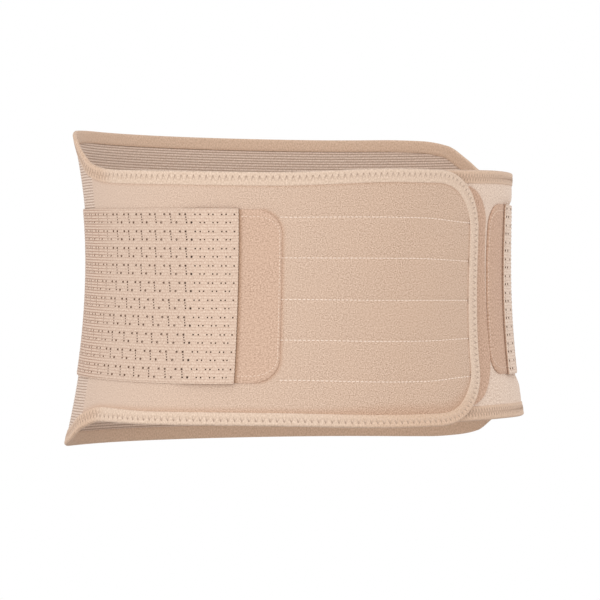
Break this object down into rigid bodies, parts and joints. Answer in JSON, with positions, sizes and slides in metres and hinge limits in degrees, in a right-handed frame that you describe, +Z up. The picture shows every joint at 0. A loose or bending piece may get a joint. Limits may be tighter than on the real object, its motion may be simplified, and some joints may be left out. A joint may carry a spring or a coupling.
{
  "type": "prolapse support belt",
  "caption": "Wide wrap-round waist and abdomen support belt with an overlapping front flap, bound edges and perforated elastic tension straps, in its worn, closed form.",
  "frame": {"origin": "on the axis of the waist opening, level with the middle of the front panel", "axes": "+Z up, -Y the way the wearer faces, +X the wearer's left"},
  "size_m": [0.3704, 0.2896, 0.2429],
  "materials": {
    "panel_fabric": "brushed loop fabric, beige",
    "rib_elastic": "ribbed knit elastic, beige",
    "binding_tape": "fold-over edge tape with zigzag stitching, light beige",
    "hook_fabric": "brushed hook fabric, darker beige",
    "strap_elastic": "perforated woven elastic, beige"
  },
  "bodies": {
    "root": {"front_panel": "panel_fabric", "under_panel": "panel_fabric", "back_panel": "rib_elastic", "edge_binding": "binding_tape", "closure_hook": "hook_fabric", "right_tab": "hook_fabric", "right_strap": "strap_elastic", "left_tab": "hook_fabric", "left_strap": "strap_elastic"}
  },
  "joints": []
}
